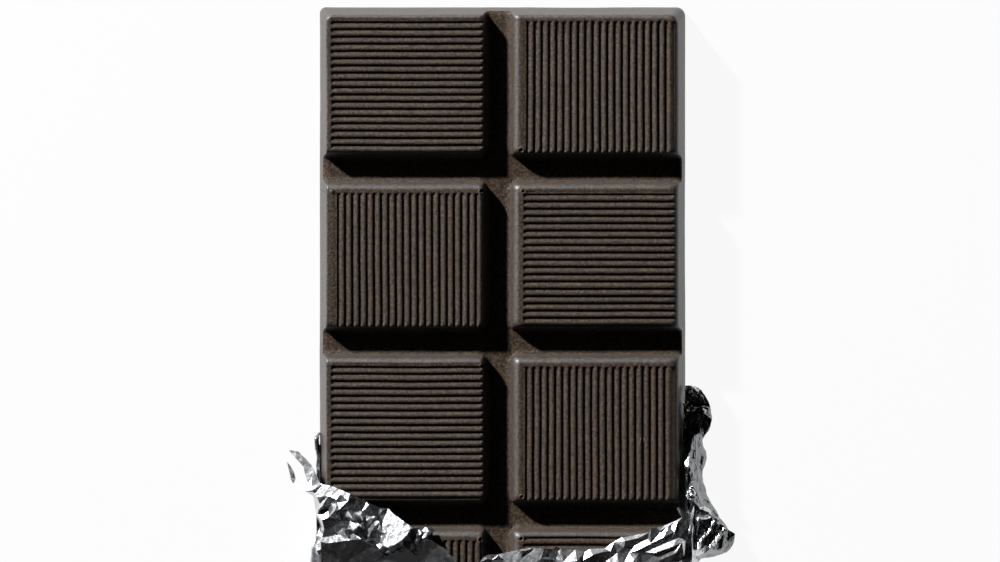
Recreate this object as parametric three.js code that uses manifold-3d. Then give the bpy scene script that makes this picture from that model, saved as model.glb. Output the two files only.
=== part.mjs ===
// A bar of dark chocolate, two squares wide and four long, with its lower end still in a torn, crumpled
// sleeve of aluminium foil. Every square is ribbed, and the ribs run across and along the bar by turns.
// Millimetres, +Z up. The bar lies flat along Y with its bare end towards +Y and its underside on the foil.
import * as THREE from "three";
import { mergeVertices } from "three/addons/utils/BufferGeometryUtils.js";
import Module from "manifold-3d";

const wasm = await Module();
wasm.setup();

// ---- Driving dimensions of the chocolate ----
const WIDTH = 76; // of the bar's underside
const LENGTH = 140.2;
const HEIGHT = 9.3; // from the underside to a square's flat top
const CORNER_RADIUS = 1.7;
const FOOT_ROUND = 0.3;
const EDGE_TURN = THREE.MathUtils.degToRad(78); // how far the top edge turns before the wall begins
// The sides in turning order: how far the wall leans in, and the radius of its top edge.
const SIDES = [
  { draft: 1.65, round: 2.1 }, // right
  { draft: 2, round: 0.9 }, // bare end
  { draft: 1.65, round: 0.4 }, // left
  { draft: 2, round: 2.1 }, // wrapped end
];

const GROOVE_DEPTH = 4.3;
const FLANK_ANGLE = THREE.MathUtils.degToRad(83);
const FLANK_ROUND = 1.6; // where a flank rolls over into the flat top
const LONG_GROOVE = { at: -0.63, half: 4.27 }; // place across the bar, and half the width at the top
const CROSS_GROOVE = { at: 0.38, half: 4.42, pitch: 35.85 }; // place along the bar of the middle one

const RIB_PITCH = 1.502;
const RIB_HEIGHT = 0.5; // the ribs are level with the top and the valleys between them this deep
const RIB_WIDTH = 0.98;
const RIB_SHOULDER = [0.76, 0.68]; // on a rib's round side: share of its half width and of its height
const RIB_CREST = 0.34; // half width of a rib's flat crest, as a share of the rib's half width
const VALLEYS_ACROSS = 18; // in a square whose ribs run across the bar
const VALLEYS_ALONG = 20; // in a square whose ribs run along it
const STRIP = 0.4; // flat strip at the ribs' left or upper ends
const VALLEY_RISE = 0.45; // length over which a valley rises to that strip

// ---- Driving dimensions of the foil ----
const FOIL = 0.3; // thickness
const FOIL_GAP = 0.3; // between the foil and the chocolate
const FACET = 3.6; // size of one flat bit of crumpled foil
const SLACK = 0.7; // crumple where the foil lies close
const TEAR_BAND = 12; // width of the badly crumpled band below the tear
const TEAR_LIFT = 1; // how far the torn edge stands off the chocolate
const CORNER_LIFT = 0.3; // share of that lift at the sleeve's upper edges
const TEAR_CRUMPLE = 1.6;
const GROOVE_DIP = 1.4; // how far the upper layer sinks into a groove
const ROOT_OFF = 0.28; // from the bar's wall to the foot of the foil that has fallen open beside it
const ROOT_HEIGHT = 0.14;

// The torn edge of the layer over the bar, as [X, Y].
const UPPER_TEAR = [
  [-36.8, -29.2],
  [-31.8, -31.1],
  [-24.3, -34.6],
  [-18.6, -38.6],
  [-14, -39.4],
  [-9.3, -45.3],
  [-6, -46.4],
  [-3.6, -44.6],
  [6.2, -42.5],
  [21.4, -42.9],
  [25.2, -40.6],
  [32.9, -38.9],
  [36.5, -36],
];
// The torn edge of the layer under the bar, as [X, Y].
const UNDER_TEAR = [
  [-38, -18],
  [-20, -17],
  [5, -13.5],
  [24, -12],
  [38, -9],
];
// The strip fallen open along the right wall: Y of a row, X and Z of its crest, and of its outer edge.
const RIGHT_STRIP = [
  [-9.8, 39.2, 1.4, 40.2, 1],
  [-11, 39.8, 3, 42.2, 1.6],
  [-15, 40.2, 3.6, 43.2, 1.8],
  [-19.9, 39.6, 3.2, 41.6, 1.6],
  [-23, 39.2, 3.4, 42.2, 1.2],
  [-26, 39, 4.6, 41.7, 1.4],
  [-28.5, 39.9, 7.2, 41.5, 2],
  [-32.4, 40.3, 9, 42.8, 2.8],
  [-36, 40.2, 9.4, 45.1, 3.6],
  [-39.5, 40.4, 8.4, 48.1, 4],
  [-42.4, 40.6, 7.2, 47.2, 2.8],
  [-44.9, 41, 5, 41.6, 2],
];
// The narrow rim that still stands along the left wall: the same.
const LEFT_RIM = [
  [-19.2, -39.1, 1.2, -39.2, 1.8],
  [-20.5, -39.2, 2.1, -39.5, 3.2],
  [-24.5, -39.1, 1.8, -39.3, 2.8],
  [-27.6, -39.1, 2.4, -39.3, 3.7],
];
// The ear that stands out on the left: rows of [X, Y, Z] across it, each from the root to the tip.
const LEFT_EAR = [
  [
    [-37.6, -28.6, 10],
    [-40.3, -25.9, 9.2],
    [-42.4, -22.9, 8.2],
    [-44.2, -22, 7.8],
  ],
  [
    [-37.8, -30.2, 10.6],
    [-41.2, -27, 9.4],
    [-43, -25, 8.6],
    [-43.8, -23.8, 8],
  ],
  [
    [-38, -31.8, 9.4],
    [-42, -29.4, 8.8],
    [-44, -27.1, 7.8],
    [-44.6, -24.6, 7.2],
  ],
];

// ---- What follows from them ----
const CLEAR = 2; // how far a cutter stands above the bar
const BAR_BASE = FOIL + FOIL_GAP; // height of the bar's underside
const BAR_TOP = BAR_BASE + HEIGHT;
const HALF_WIDTH = WIDTH / 2;
const HALF_LENGTH = LENGTH / 2;
const CROSS_GROOVES = [-1, 0, 1].map((place) => CROSS_GROOVE.at + place * CROSS_GROOVE.pitch);
const ROWS = CROSS_GROOVES.length + 1;
const { lerp, mapLinear, smoothstep } = THREE.MathUtils;

// ---- Solids and meshes ----

function solidOf(geometry) {
  const bare = geometry.index ? geometry.toNonIndexed() : geometry.clone();
  bare.deleteAttribute("normal");
  bare.deleteAttribute("uv");
  const merged = mergeVertices(bare, 1e-4);
  return new wasm.Manifold(
    new wasm.Mesh({
      numProp: 3,
      vertProperties: new Float32Array(merged.getAttribute("position").array),
      triVerts: new Uint32Array(merged.index.array),
    }),
  );
}

function meshOf(solid, name, material) {
  const { vertProperties, triVerts } = solid.getMesh();
  const geometry = new THREE.BufferGeometry();
  geometry.setAttribute("position", new THREE.BufferAttribute(vertProperties, 3));
  geometry.setIndex(new THREE.BufferAttribute(triVerts, 1));
  geometry.computeVertexNormals();
  const mesh = new THREE.Mesh(geometry, material);
  mesh.name = name;
  return mesh;
}

const geometryOf = (triangles) => new THREE.BufferGeometry().setFromPoints(triangles.flat());

// Two triangles for the quad a, b, c, d, given in turning order seen from outside.
const quad = (a, b, c, d) => [
  [a, b, c],
  [a, c, d],
];

// The same triangles with their faces turned to the other side.
const turned = (triangles) => triangles.map(([a, b, c]) => [a, c, b]);

const shapeOf = (points) => new THREE.Shape(points.map(([x, y]) => new THREE.Vector2(x, y)));

// The same points on the other side of the upright axis, in turning order.
const mirrored = (points) => points.map(([x, y]) => [-x, y]).reverse();

const mirroredShape = (points) => shapeOf([...points, ...mirrored(points)]);

// A shape drawn in X and Z, drawn out along Y to both sides of the origin.
const alongY = (shape, length) =>
  new THREE.ExtrudeGeometry(shape, { depth: length, bevelEnabled: false })
    .translate(0, 0, -length / 2)
    .rotateX(Math.PI / 2);

// n shares of the way from 0 to 1, without the 1.
const shares = (n) => Array.from({ length: n }, (_, i) => i / n);

// ---- The chocolate ----

// A ring of points round the bar. For each of the sides, stageOf tells how far it stands in from the
// underside's outline, and its height.
function ring(stageOf) {
  const turnSteps = 4;
  const least = 0.1;
  const corners = [
    [1, 1],
    [-1, 1],
    [-1, -1],
    [1, -1],
  ];
  const stages = SIDES.map(stageOf);
  return corners.flatMap(([sideX, sideY], corner) => {
    const [from, to] = [stages[corner], stages[(corner + 1) % 4]];
    const [facingX, facingY] = corner % 2 === 0 ? [from, to] : [to, from];
    const radius = Math.max(CORNER_RADIUS - (from.inset + to.inset) / 2, least);
    return Array.from({ length: turnSteps + 1 }, (_, step) => {
      const turn = (corner + step / turnSteps) * (Math.PI / 2);
      const x = sideX * (HALF_WIDTH - facingX.inset - radius) + radius * Math.cos(turn);
      const y = sideY * (HALF_LENGTH - facingY.inset - radius) + radius * Math.sin(turn);
      return new THREE.Vector3(x, y, BAR_BASE + lerp(from.z, to.z, step / turnSteps));
    });
  });
}

// The closed form through a stack of outlines, lowest first.
function loft(outlines) {
  const triangles = [];
  const n = outlines[0].length;
  for (let level = 0; level + 1 < outlines.length; level++) {
    const [low, high] = [outlines[level], outlines[level + 1]];
    for (let i = 0; i < n; i++) {
      const next = (i + 1) % n;
      triangles.push(...quad(low[i], low[next], high[next], high[i]));
    }
  }
  const [floor, roof] = [outlines[0], outlines.at(-1)];
  for (let i = 1; i + 1 < n; i++) {
    triangles.push([floor[0], floor[i + 1], floor[i]]);
    triangles.push([roof[0], roof[i], roof[i + 1]]);
  }
  return geometryOf(triangles);
}

// How far in from the underside's outline a side's flat top begins.
const flatInset = ({ draft, round }) => draft + round * Math.sin(EDGE_TURN);

function slab() {
  const atTurn = (angle) => (side) => ({
    inset: flatInset(side) - side.round * Math.sin(angle),
    z: HEIGHT - side.round * (1 - Math.cos(angle)),
  });
  return loft([
    ring(() => ({ inset: FOOT_ROUND, z: 0 })),
    ring(() => ({ inset: 0, z: FOOT_ROUND })),
    ...[1, 0.75, 0.5, 0.25, 0].map((share) => ring(atTurn(share * EDGE_TURN))),
  ]);
}

// The section of a groove, seen along it: a flat floor and steep flanks that roll over into the top.
function grooveSection(half) {
  const rollSteps = 4;
  const roll = Array.from({ length: rollSteps + 1 }, (_, step) => {
    const slope = FLANK_ANGLE * (1 - step / rollSteps);
    const x = half - FLANK_ROUND * Math.sin(slope);
    return [x, FLANK_ROUND * (Math.cos(slope) - 1)];
  });
  const [flankX, flankY] = roll[0];
  const floorHalf = flankX - (GROOVE_DEPTH + flankY) / Math.tan(FLANK_ANGLE);
  return mirroredShape([[floorHalf, -GROOVE_DEPTH], ...roll, [half, CLEAR]]);
}

// A cutter along Y, on the bar's top surface.
const grooveCutter = (half) => alongY(grooveSection(half), 2.2 * HALF_LENGTH).translate(0, 0, BAR_TOP);

// The section of valleys side by side, hanging from one plate that clears the ribs' crests.
function valleySection(count) {
  const half = RIB_WIDTH / 2;
  const [shoulderOut, shoulderUp] = RIB_SHOULDER;
  const gap = 0.05;
  const side = [
    [RIB_PITCH / 2 - half, -RIB_HEIGHT],
    [RIB_PITCH / 2 - shoulderOut * half, (shoulderUp - 1) * RIB_HEIGHT],
    [RIB_PITCH / 2 - RIB_CREST * half, 0],
    [RIB_PITCH / 2 - RIB_CREST * half, gap],
  ];
  const valley = [...mirrored(side), ...side];
  const first = (-(count - 1) / 2) * RIB_PITCH;
  const valleys = Array.from({ length: count }, (_, i) =>
    valley.map(([x, y]) => [first + i * RIB_PITCH + x, y]),
  ).flat();
  const plate = [
    [-first + RIB_PITCH / 2 - RIB_CREST * half, CLEAR],
    [first - RIB_PITCH / 2 + RIB_CREST * half, CLEAR],
  ];
  return shapeOf([...valleys, ...plate]);
}

// The valleys' outline seen from the side: they rise to the strip at their far end, and run out of the near.
function valleyProfile(length) {
  const end = length - STRIP;
  return shapeOf([
    [-FLANK_ROUND, -RIB_HEIGHT],
    [end - VALLEY_RISE, -RIB_HEIGHT],
    [end, 0],
    [end, 2 * CLEAR],
    [-FLANK_ROUND, 2 * CLEAR],
  ]);
}

// A cutter for valleys along Y that start at Y = 0 and are centred on X = 0, level with the origin.
function valleyCutter(count, length) {
  const comb = alongY(valleySection(count), 3 * length);
  const profile = alongY(valleyProfile(length), 2 * count * RIB_PITCH).rotateZ(Math.PI / 2);
  return [comb, profile];
}

// The edges of a square's flat top: column 0 is on the left, row 0 at the bare end.
function flatTop(column, row) {
  const [right, bareEnd, left, wrappedEnd] = SIDES.map(flatInset);
  return {
    left: column === 0 ? left - HALF_WIDTH : LONG_GROOVE.at + LONG_GROOVE.half,
    right: column === 0 ? LONG_GROOVE.at - LONG_GROOVE.half : HALF_WIDTH - right,
    high: row === 0 ? HALF_LENGTH - bareEnd : CROSS_GROOVES.at(-row) - CROSS_GROOVE.half,
    low: row === ROWS - 1 ? wrappedEnd - HALF_LENGTH : CROSS_GROOVES.at(-row - 1) + CROSS_GROOVE.half,
  };
}

// The valleys of a square, counted from its right or lower edge.
function squareValleys(column, row) {
  const { left, right, high, low } = flatTop(column, row);
  const runAcross = (column + row) % 2 === 0;
  const count = runAcross ? VALLEYS_ACROSS : VALLEYS_ALONG;
  const halfBreadth = (count * RIB_PITCH) / 2;
  const place = (form) => {
    if (!runAcross) return form.translate(right - halfBreadth, low, BAR_TOP);
    return form.rotateZ(Math.PI / 2).translate(right, low + halfBreadth, BAR_TOP);
  };
  const forms = valleyCutter(count, runAcross ? right - left : high - low);
  const [comb, profile] = forms.map((form) => solidOf(place(form)));
  return comb.intersect(profile);
}

function chocolateBar() {
  const longGroove = grooveCutter(LONG_GROOVE.half).translate(LONG_GROOVE.at, 0, 0);
  let bar = solidOf(slab()).subtract(solidOf(longGroove));
  for (const y of CROSS_GROOVES) {
    const cutter = grooveCutter(CROSS_GROOVE.half).rotateZ(Math.PI / 2).translate(0, y, 0);
    bar = bar.subtract(solidOf(cutter));
  }
  for (let row = 0; row < ROWS; row++) {
    for (let column = 0; column < 2; column++) {
      bar = bar.subtract(squareValleys(column, row));
    }
  }
  return bar;
}

// ---- The foil ----

// A number from 0 to 1 that belongs to one point of a lattice.
function chance(i, j, k) {
  const wave = Math.sin(i * 127.1 + j * 311.7 + k * 74.7) * 43758.5453;
  return wave - Math.floor(wave);
}

// Crumple from 0 to 1 at a point: the lattice's chance values, joined by flat facets.
function crumple(x, y, z) {
  const place = [(0.8 * x + 0.6 * y) / FACET, (0.8 * y - 0.6 * x) / FACET, z / FACET + 0.5];
  const corner = place.map(Math.floor);
  const part = place.map((value, axis) => value - corner[axis]);
  const order = [0, 1, 2].sort((a, b) => part[b] - part[a]);
  let height = (1 - part[order[0]]) * chance(...corner);
  order.forEach((axis, step) => {
    corner[axis] += 1;
    const next = step < 2 ? part[order[step + 1]] : 0;
    height += (part[axis] - next) * chance(...corner);
  });
  return height;
}

// Y of a torn edge at X, straight between its points.
function tearAt(points, x) {
  const next = points.findIndex(([at]) => at >= x);
  if (next === 0) return points[0][1];
  if (next < 0) return points.at(-1)[1];
  const [[fromX, fromY], [toX, toY]] = [points[next - 1], points[next]];
  return mapLinear(x, fromX, toX, fromY, toY);
}

// How far the upper layer sinks into the grooves under it.
function sagAt(x, y) {
  const over = (distance, half) => Math.max(0, 1 - (distance / half) ** 2);
  const overCross = over(y - CROSS_GROOVES[0], CROSS_GROOVE.half);
  return GROOVE_DIP * Math.max(over(x - LONG_GROOVE.at, LONG_GROOVE.half), overCross);
}

const ACROSS = Math.round(WIDTH / FACET); // facets across the bar
const UP = 3; // facets up a wall
const ALONG = 11; // rows of facets from the closed end to the tear

// The stations round the sleeve, each as its place [across from -1 to 1, up from 0 to 1].
function sleeveStations() {
  return [
    ...shares(ACROSS).map((share) => [1 - 2 * share, 1]),
    ...shares(UP).map((share) => [-1, 1 - share]),
    ...shares(ACROSS).map((share) => [2 * share - 1, 0]),
    ...shares(UP).map((share) => [1, share]),
  ];
}

// A point of the sleeve at a station, this far off the chocolate, with share 0 at the closed end and 1 at
// the tear. The layer under the bar is flat, and the rest is pushed out by its crumple.
function sleevePoint([across, up], share, off) {
  const upperTear = tearAt(UPPER_TEAR, across * HALF_WIDTH);
  const tear = lerp(tearAt(UNDER_TEAR, across * HALF_WIDTH), upperTear, Math.sqrt(up));
  const end = -HALF_LENGTH - FOIL_GAP;
  const y = lerp(end, tear, share);
  const z = lerp(BAR_BASE - off, BAR_TOP + off, up);
  const point = new THREE.Vector3(across * (HALF_WIDTH + off), y, z);
  if (up === 0) return point;

  const rough = crumple(across * HALF_WIDTH, y, lerp(BAR_BASE, BAR_TOP, up));
  const nearTear = smoothstep(y, tear - TEAR_BAND, tear);
  const offEnd = smoothstep(y, end, end + FACET);
  const onWall = Math.abs(across) === 1;
  const liftShare = up < 1 ? 0 : onWall ? CORNER_LIFT : 1;
  const rise = offEnd * (SLACK * rough + liftShare * nearTear * (TEAR_LIFT + TEAR_CRUMPLE * rough));
  const out = new THREE.Vector3(onWall ? across : 0, 0, up === 1 ? 1 : 0).normalize();
  if (!onWall) point.z -= offEnd * sagAt(point.x, y);
  return point.addScaledVector(out, rise);
}

// The closed end inside the first ring: columns of points across it, each from the upper edge down.
function sleeveEnd(ring) {
  const bulged = (high, low, share) => {
    const point = high.clone().lerp(low, share);
    return point.setY(point.y - SLACK * crumple(point.x, -HALF_LENGTH, point.z));
  };
  const columnPoint = (i, k) => {
    if (i === 0) return ring[(ring.length - k) % ring.length];
    if (i === ACROSS) return ring[ACROSS + k];
    const [high, low] = [ring[i], ring[2 * ACROSS + UP - i]];
    if (k === 0) return high;
    return k === UP ? low : bulged(high, low, k / UP);
  };
  const triangles = [];
  for (let i = 0; i < ACROSS; i++) {
    for (let k = 0; k < UP; k++) {
      const around = [columnPoint(i, k), columnPoint(i + 1, k)];
      around.push(columnPoint(i + 1, k + 1), columnPoint(i, k + 1));
      triangles.push(...quad(...around));
    }
  }
  return triangles;
}

// One face of the sleeve, this far off the chocolate, and its rim along the tear.
function sleeveFace(off) {
  const stations = sleeveStations();
  const n = stations.length;
  const rings = Array.from({ length: ALONG + 1 }, (_, row) =>
    stations.map((station) => sleevePoint(station, row / ALONG, off)),
  );
  rings[0].forEach((point) => point.setY(point.y + FOIL_GAP - off));
  const triangles = sleeveEnd(rings[0]);
  for (let row = 0; row < ALONG; row++) {
    const [ring, next] = [rings[row], rings[row + 1]];
    for (let i = 0; i < n; i++) {
      const k = (i + 1) % n;
      triangles.push(...quad(ring[i], next[i], next[k], ring[k]));
    }
  }
  return { triangles, rim: rings[ALONG] };
}

function sleeve() {
  const outer = sleeveFace(FOIL_GAP + FOIL);
  const inner = sleeveFace(FOIL_GAP);
  const n = outer.rim.length;
  const triangles = [...outer.triangles, ...turned(inner.triangles)];
  for (let i = 0; i < n; i++) {
    const k = (i + 1) % n;
    triangles.push(...quad(outer.rim[i], inner.rim[i], inner.rim[k], outer.rim[k]));
  }
  return solidOf(geometryOf(triangles));
}

// A torn strip of foil from a grid of points, one foil thick, with its other face out of the first that way.
function strip(lower, way) {
  const upper = lower.map((row) => row.map((point) => point.clone().addScaledVector(way, FOIL)));
  const [last, edge] = [lower.length - 1, lower[0].length - 1];
  const cell = (grid, i, j) => quad(grid[i][j], grid[i + 1][j], grid[i + 1][j + 1], grid[i][j + 1]);
  const triangles = [];
  const border = [];
  for (let i = 0; i < last; i++) {
    for (let j = 0; j < edge; j++) {
      triangles.push(...cell(upper, i, j), ...turned(cell(lower, i, j)));
    }
    border.push([i, 0]);
  }
  for (let j = 0; j < edge; j++) border.push([last, j]);
  for (let i = last; i > 0; i--) border.push([i, edge]);
  for (let j = edge; j > 0; j--) border.push([0, j]);
  border.forEach(([i, j], place) => {
    const [k, l] = border[(place + 1) % border.length];
    triangles.push(...quad(lower[i][j], lower[k][l], upper[k][l], upper[i][j]));
  });
  const solid = solidOf(geometryOf(triangles));
  return solid.volume() > 0 ? solid : solidOf(geometryOf(turned(triangles)));
}

// A strip that stands up from the foot of a wall, on the side that sideX says, and folds over its crest.
function fallenStrip(rows, sideX) {
  const steps = 3; // facets up to the crest, and as many down to the edge
  const grid = rows.map(([y, crestX, crestZ, edgeX, edgeZ]) => {
    const crest = new THREE.Vector3(crestX, y, crestZ);
    const edge = new THREE.Vector3(edgeX, y, edgeZ);
    const up = shares(steps).map((share) => {
      const x = lerp(sideX * (HALF_WIDTH + ROOT_OFF), crestX, Math.sqrt(share));
      return new THREE.Vector3(x, y, lerp(ROOT_HEIGHT, crestZ, share));
    });
    const down = [...shares(steps), 1].map((share) => crest.clone().lerp(edge, share));
    return [...up, ...down].map((point, i) => {
      const loose = i / (2 * steps);
      const rough = TEAR_CRUMPLE * loose * (crumple(point.x, y, point.z) - 0.5);
      return new THREE.Vector3(point.x + sideX * rough, y, point.z + rough);
    });
  });
  return strip(grid, new THREE.Vector3(sideX, 0, 1).normalize());
}

function leftEar() {
  const grid = LEFT_EAR.map((row) => row.map((point) => new THREE.Vector3(...point)));
  return strip(grid, new THREE.Vector3(0, 0, 1));
}

function foilWrapper() {
  return sleeve().add(fallenStrip(RIGHT_STRIP, 1)).add(fallenStrip(LEFT_RIM, -1)).add(leftEar());
}

// ---- The part ----

const chocolate = new THREE.MeshStandardMaterial({ color: 0x3a2a24, roughness: 0.5, metalness: 0 });
const aluminium = new THREE.MeshStandardMaterial({ color: 0xc9cacc, roughness: 0.2, metalness: 1 });

const part = new THREE.Group();
part.add(meshOf(chocolateBar(), "chocolate_bar", chocolate));
part.add(meshOf(foilWrapper(), "foil_wrapper", aluminium));

// The origin is on the resting plane, under the middle of the whole.
const box = new THREE.Box3().setFromObject(part);
part.position.set(-(box.min.x + box.max.x) / 2, -(box.min.y + box.max.y) / 2, -box.min.z);

export default part;
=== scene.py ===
"""Looks for a bar of dark chocolate whose lower end is still in torn aluminium foil.

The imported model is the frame. The ribbed bar and the foil are modelled here in fine meshes that stand where
the frame's solids are. Lengths are in millimetres in the bar's own frame, with its origin under the middle
of the bar's underside, until a mesh is made.
"""
import math

import bpy
import numpy as np
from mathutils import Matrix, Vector
from mathutils.geometry import delaunay_2d_cdt


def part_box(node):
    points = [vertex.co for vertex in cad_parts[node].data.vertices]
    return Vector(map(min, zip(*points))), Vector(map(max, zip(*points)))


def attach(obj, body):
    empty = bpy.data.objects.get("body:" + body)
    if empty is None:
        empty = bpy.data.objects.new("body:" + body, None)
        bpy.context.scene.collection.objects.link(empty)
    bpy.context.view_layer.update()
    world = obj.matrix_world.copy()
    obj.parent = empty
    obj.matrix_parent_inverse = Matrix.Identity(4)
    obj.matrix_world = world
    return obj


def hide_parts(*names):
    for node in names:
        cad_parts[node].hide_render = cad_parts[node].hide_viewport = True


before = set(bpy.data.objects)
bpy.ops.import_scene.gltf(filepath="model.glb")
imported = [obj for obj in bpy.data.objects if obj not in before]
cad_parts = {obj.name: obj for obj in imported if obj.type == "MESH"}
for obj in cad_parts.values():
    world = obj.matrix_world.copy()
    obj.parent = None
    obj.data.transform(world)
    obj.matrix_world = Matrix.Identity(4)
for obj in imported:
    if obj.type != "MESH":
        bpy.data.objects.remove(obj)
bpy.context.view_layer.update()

MM = 0.001

# ---- The bar's sizes ----
bar_low, bar_high = (np.array(corner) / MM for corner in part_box("chocolate_bar"))
BAR_ORIGIN = np.array([*(bar_low + bar_high)[:2] / 2, bar_low[2]])
FOOT_HALF = (bar_high - bar_low)[:2] / 2  # half width and half length of the underside
HEIGHT = 9.3  # to a square's flat top
DRAFT = np.array([1.65, 2.0])  # how far the side and end walls lean in
FOOT_ROUND = 0.3
# Of the top's outer edges: left and right, lower and upper.
EDGE_ROUND = np.array([[0.35, 2.1], [2.1, 0.9]])
EDGE_TURN = math.radians(78)  # how far the top edge turns before the wall begins
NOTCH_ROUND = 0.7  # of the edge where a groove's floor runs out of a wall
CORNER_RADIUS = {(-1, 1): 1.3, (1, 1): 1.9, (-1, -1): 1.6, (1, -1): 1.6}

LONG_GROOVE = -0.63  # x of the groove along the bar
CROSS_GROOVES = 0.38 + 35.85 * np.array([-1, 0, 1])
GROOVE_HALF = np.array([4.27, 4.42])  # half width at the top of the groove along the bar and those across it
GROOVE_DEPTH = 4.3
# Radius of the roll into the top, on a groove's left and right side, and on the lower and upper side.
FLANK_ROLL = np.array([[1.0, 1.6], [1.6, 1.3]])
FLANK_ANGLE = math.radians(83)
FLOOR_FILLET = 1.2
ARC_POINTS = 25  # in the roll and in the fillet
CREASE_BLEND = 0.12  # how softly two flanks meet, or a flank and a valley

# The ribs are what fine valleys leave standing of the flat top.
RIB_PITCH = 1.502
RIB_HALF = 0.49
RIB_HEIGHT = 0.5
RIB_COUNT = {"across": 18, "along": 20}
RIB_STRIP = {"across": 0.45, "along": 0.2}  # width of the flat strip at the ribs' left or upper ends
VALLEY_END = 0.45  # length over which a valley rises to that strip
VALLEY_POINT = 0.2  # how much further a valley's middle runs than its sides
RIB_UNEVEN = 0.04  # share by which the ribs differ in height
END_UNEVEN = 0.05  # and by how much their ends do
# How far the mould's ribs sit off their place in their square, and their pitch, by column and row.
RIB_PLACE = {
    (0, 0): (-0.42, 1.492), (1, 0): (0.28, 1.502),
    (0, 1): (0.36, 1.498), (1, 1): (-0.2, 1.499),
    (0, 2): (0.05, 1.502), (1, 2): (0.04, 1.502),
    (0, 3): (-0.08, 1.502), (1, 3): (-0.2, 1.502),
}
RIM_SLOPE = (1.1, 0.16)  # width over which the flat strip falls away to the first valley, and how deep

# Burst air bubbles: x, y, radius.
PITS = [
    (3.9, 40.2, 0.42), (4.25, 31.7, 0.34), (-4.4, 31.7, 0.36), (-4.2, -4.4, 0.36),
    (3.95, -31.3, 0.36), (3.85, -40.0, 0.4), (-4.6, -40.2, 0.42), (28.8, -19.7, 0.3),
]
PIT_DEPTH = 0.45
PIT_RIM = 0.1, 1.3, 0.3  # height, and place and width over the bubble's radius
BLOOM_RING = 1.35, 0.35  # place and width, likewise
BUMPS = [(-35.2, 31.6, 0.6, 0.22), (-35.0, -4.1, 0.5, 0.12)]  # x, y, radius, height
BUMP_POINT = 1.5  # how pointed they are
WAVES = [(0.07, 11.0, 1), (0.022, 2.3, 5)]  # a cast surface's: height, length and seed
SHEEN_DROP = (0, 0.2)  # how far below the top the sheen begins and is full
SHEEN_RISE = (0.1, 0.7)  # and how far over a groove's floor, which has none
LEAN_REACH = 4  # how far in from the walls a groove's floor leans out with them

# ---- The camera, which looks straight down ----
PIXELS_PER_MM = 4.805
CAMERA_HEIGHT = 1000.0
CAMERA_PLACE = np.array([-0.525, 13.18])  # over the bar
IMAGE_WIDTH, IMAGE_HEIGHT = 1000, 562

rng = np.random.default_rng(7)

# ---- Noise ----


SCATTER = (127.1, 311.7, 74.7), 43758.5453  # with no simple ratio between them
SEED_SHIFT = 17.3


def chance(i, j, k):
    """A number from 0 to 1 that belongs to a lattice point."""
    (a, b, c), size = SCATTER
    wave = np.sin(i * a + j * b + k * c) * size
    return wave - np.floor(wave)


def soft_noise(points, size, seed=0):
    """Smooth noise from -1 to 1 with bumps of a given size."""
    place = points / size + seed * SEED_SHIFT
    corner = np.floor(place)
    part = place - corner
    part = part * part * (3 - 2 * part)
    total = np.zeros(len(points))
    for step in np.ndindex(2, 2, 2):
        weight = np.prod(np.where(step, part, 1 - part), axis=1)
        total += weight * chance(*(corner + step).T)
    return 2 * total - 1


def smoothstep(value, low, high):
    share = np.clip((value - low) / (high - low), 0, 1)
    return share * share * (3 - 2 * share)


# ---- Meshes from triangles ----


def linked(name, data):
    """A new object in the scene."""
    holder = bpy.data.objects.new(name, data)
    bpy.context.scene.collection.objects.link(holder)
    return holder


def make_object(name, points, faces, material, smooth=True):
    """An object from points in the bar's frame, in millimetres."""
    mesh = bpy.data.meshes.new(name)
    mesh.from_pydata(((points + BAR_ORIGIN) * MM).tolist(), [], faces.tolist())
    mesh.polygons.foreach_set("use_smooth", np.full(len(faces), smooth))
    mesh.materials.append(material)
    mesh.update()
    return linked(name, mesh)


def grid_faces(index, turned=False):
    """Two triangles a cell for a grid of point numbers, split towards the grid's middle."""
    a, b, c, d = index[:-1, :-1], index[:-1, 1:], index[1:, 1:], index[1:, :-1]
    rows, columns = a.shape
    upper = (np.arange(rows) >= rows / 2)[:, None]
    right = (np.arange(columns) >= columns / 2)[None, :]
    rising = (upper == right)[..., None]
    first = np.where(rising, np.stack([a, b, c], -1), np.stack([a, b, d], -1))
    second = np.where(rising, np.stack([a, c, d], -1), np.stack([b, c, d], -1))
    faces = np.concatenate([first.reshape(-1, 3), second.reshape(-1, 3)])
    return faces[:, ::-1] if turned else faces


def ring_faces(rings):
    """Triangles between closed rings of point numbers, one a row."""
    return grid_faces(np.column_stack([rings, rings[:, 0]]))


def zip_faces(left, right, left_at, right_at, turned=False):
    """Triangles between two lines of points that run side by side, with the place of each point."""
    faces = []
    i = j = 0
    while i < len(left) - 1 or j < len(right) - 1:
        at_end = j == len(right) - 1
        if at_end or (i < len(left) - 1 and left_at[i + 1] < right_at[j + 1]):
            faces.append((left[i], right[j], left[i + 1]))
            i += 1
        else:
            faces.append((left[i], right[j], right[j + 1]))
            j += 1
    faces = np.array(faces)
    return faces[:, ::-1] if turned else faces


# ---- The bar's form ----


def flank_section(roll):
    """Distances in from a square's edge towards a groove's middle, and the drop at each."""
    turn = np.linspace(0, FLANK_ANGLE, ARC_POINTS)
    roll_in, roll_drop = roll * np.sin(turn), roll * (1 - np.cos(turn))
    fillet_in = -FLOOR_FILLET * np.sin(turn[::-1])
    fillet_drop = GROOVE_DEPTH - FLOOR_FILLET * (1 - np.cos(turn[::-1]))
    run = (fillet_drop[0] - roll_drop[-1]) / math.tan(FLANK_ANGLE)
    fillet_in += roll_in[-1] + run - fillet_in[0]
    return np.concatenate([roll_in, fillet_in]), np.concatenate([roll_drop, fillet_drop])


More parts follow.
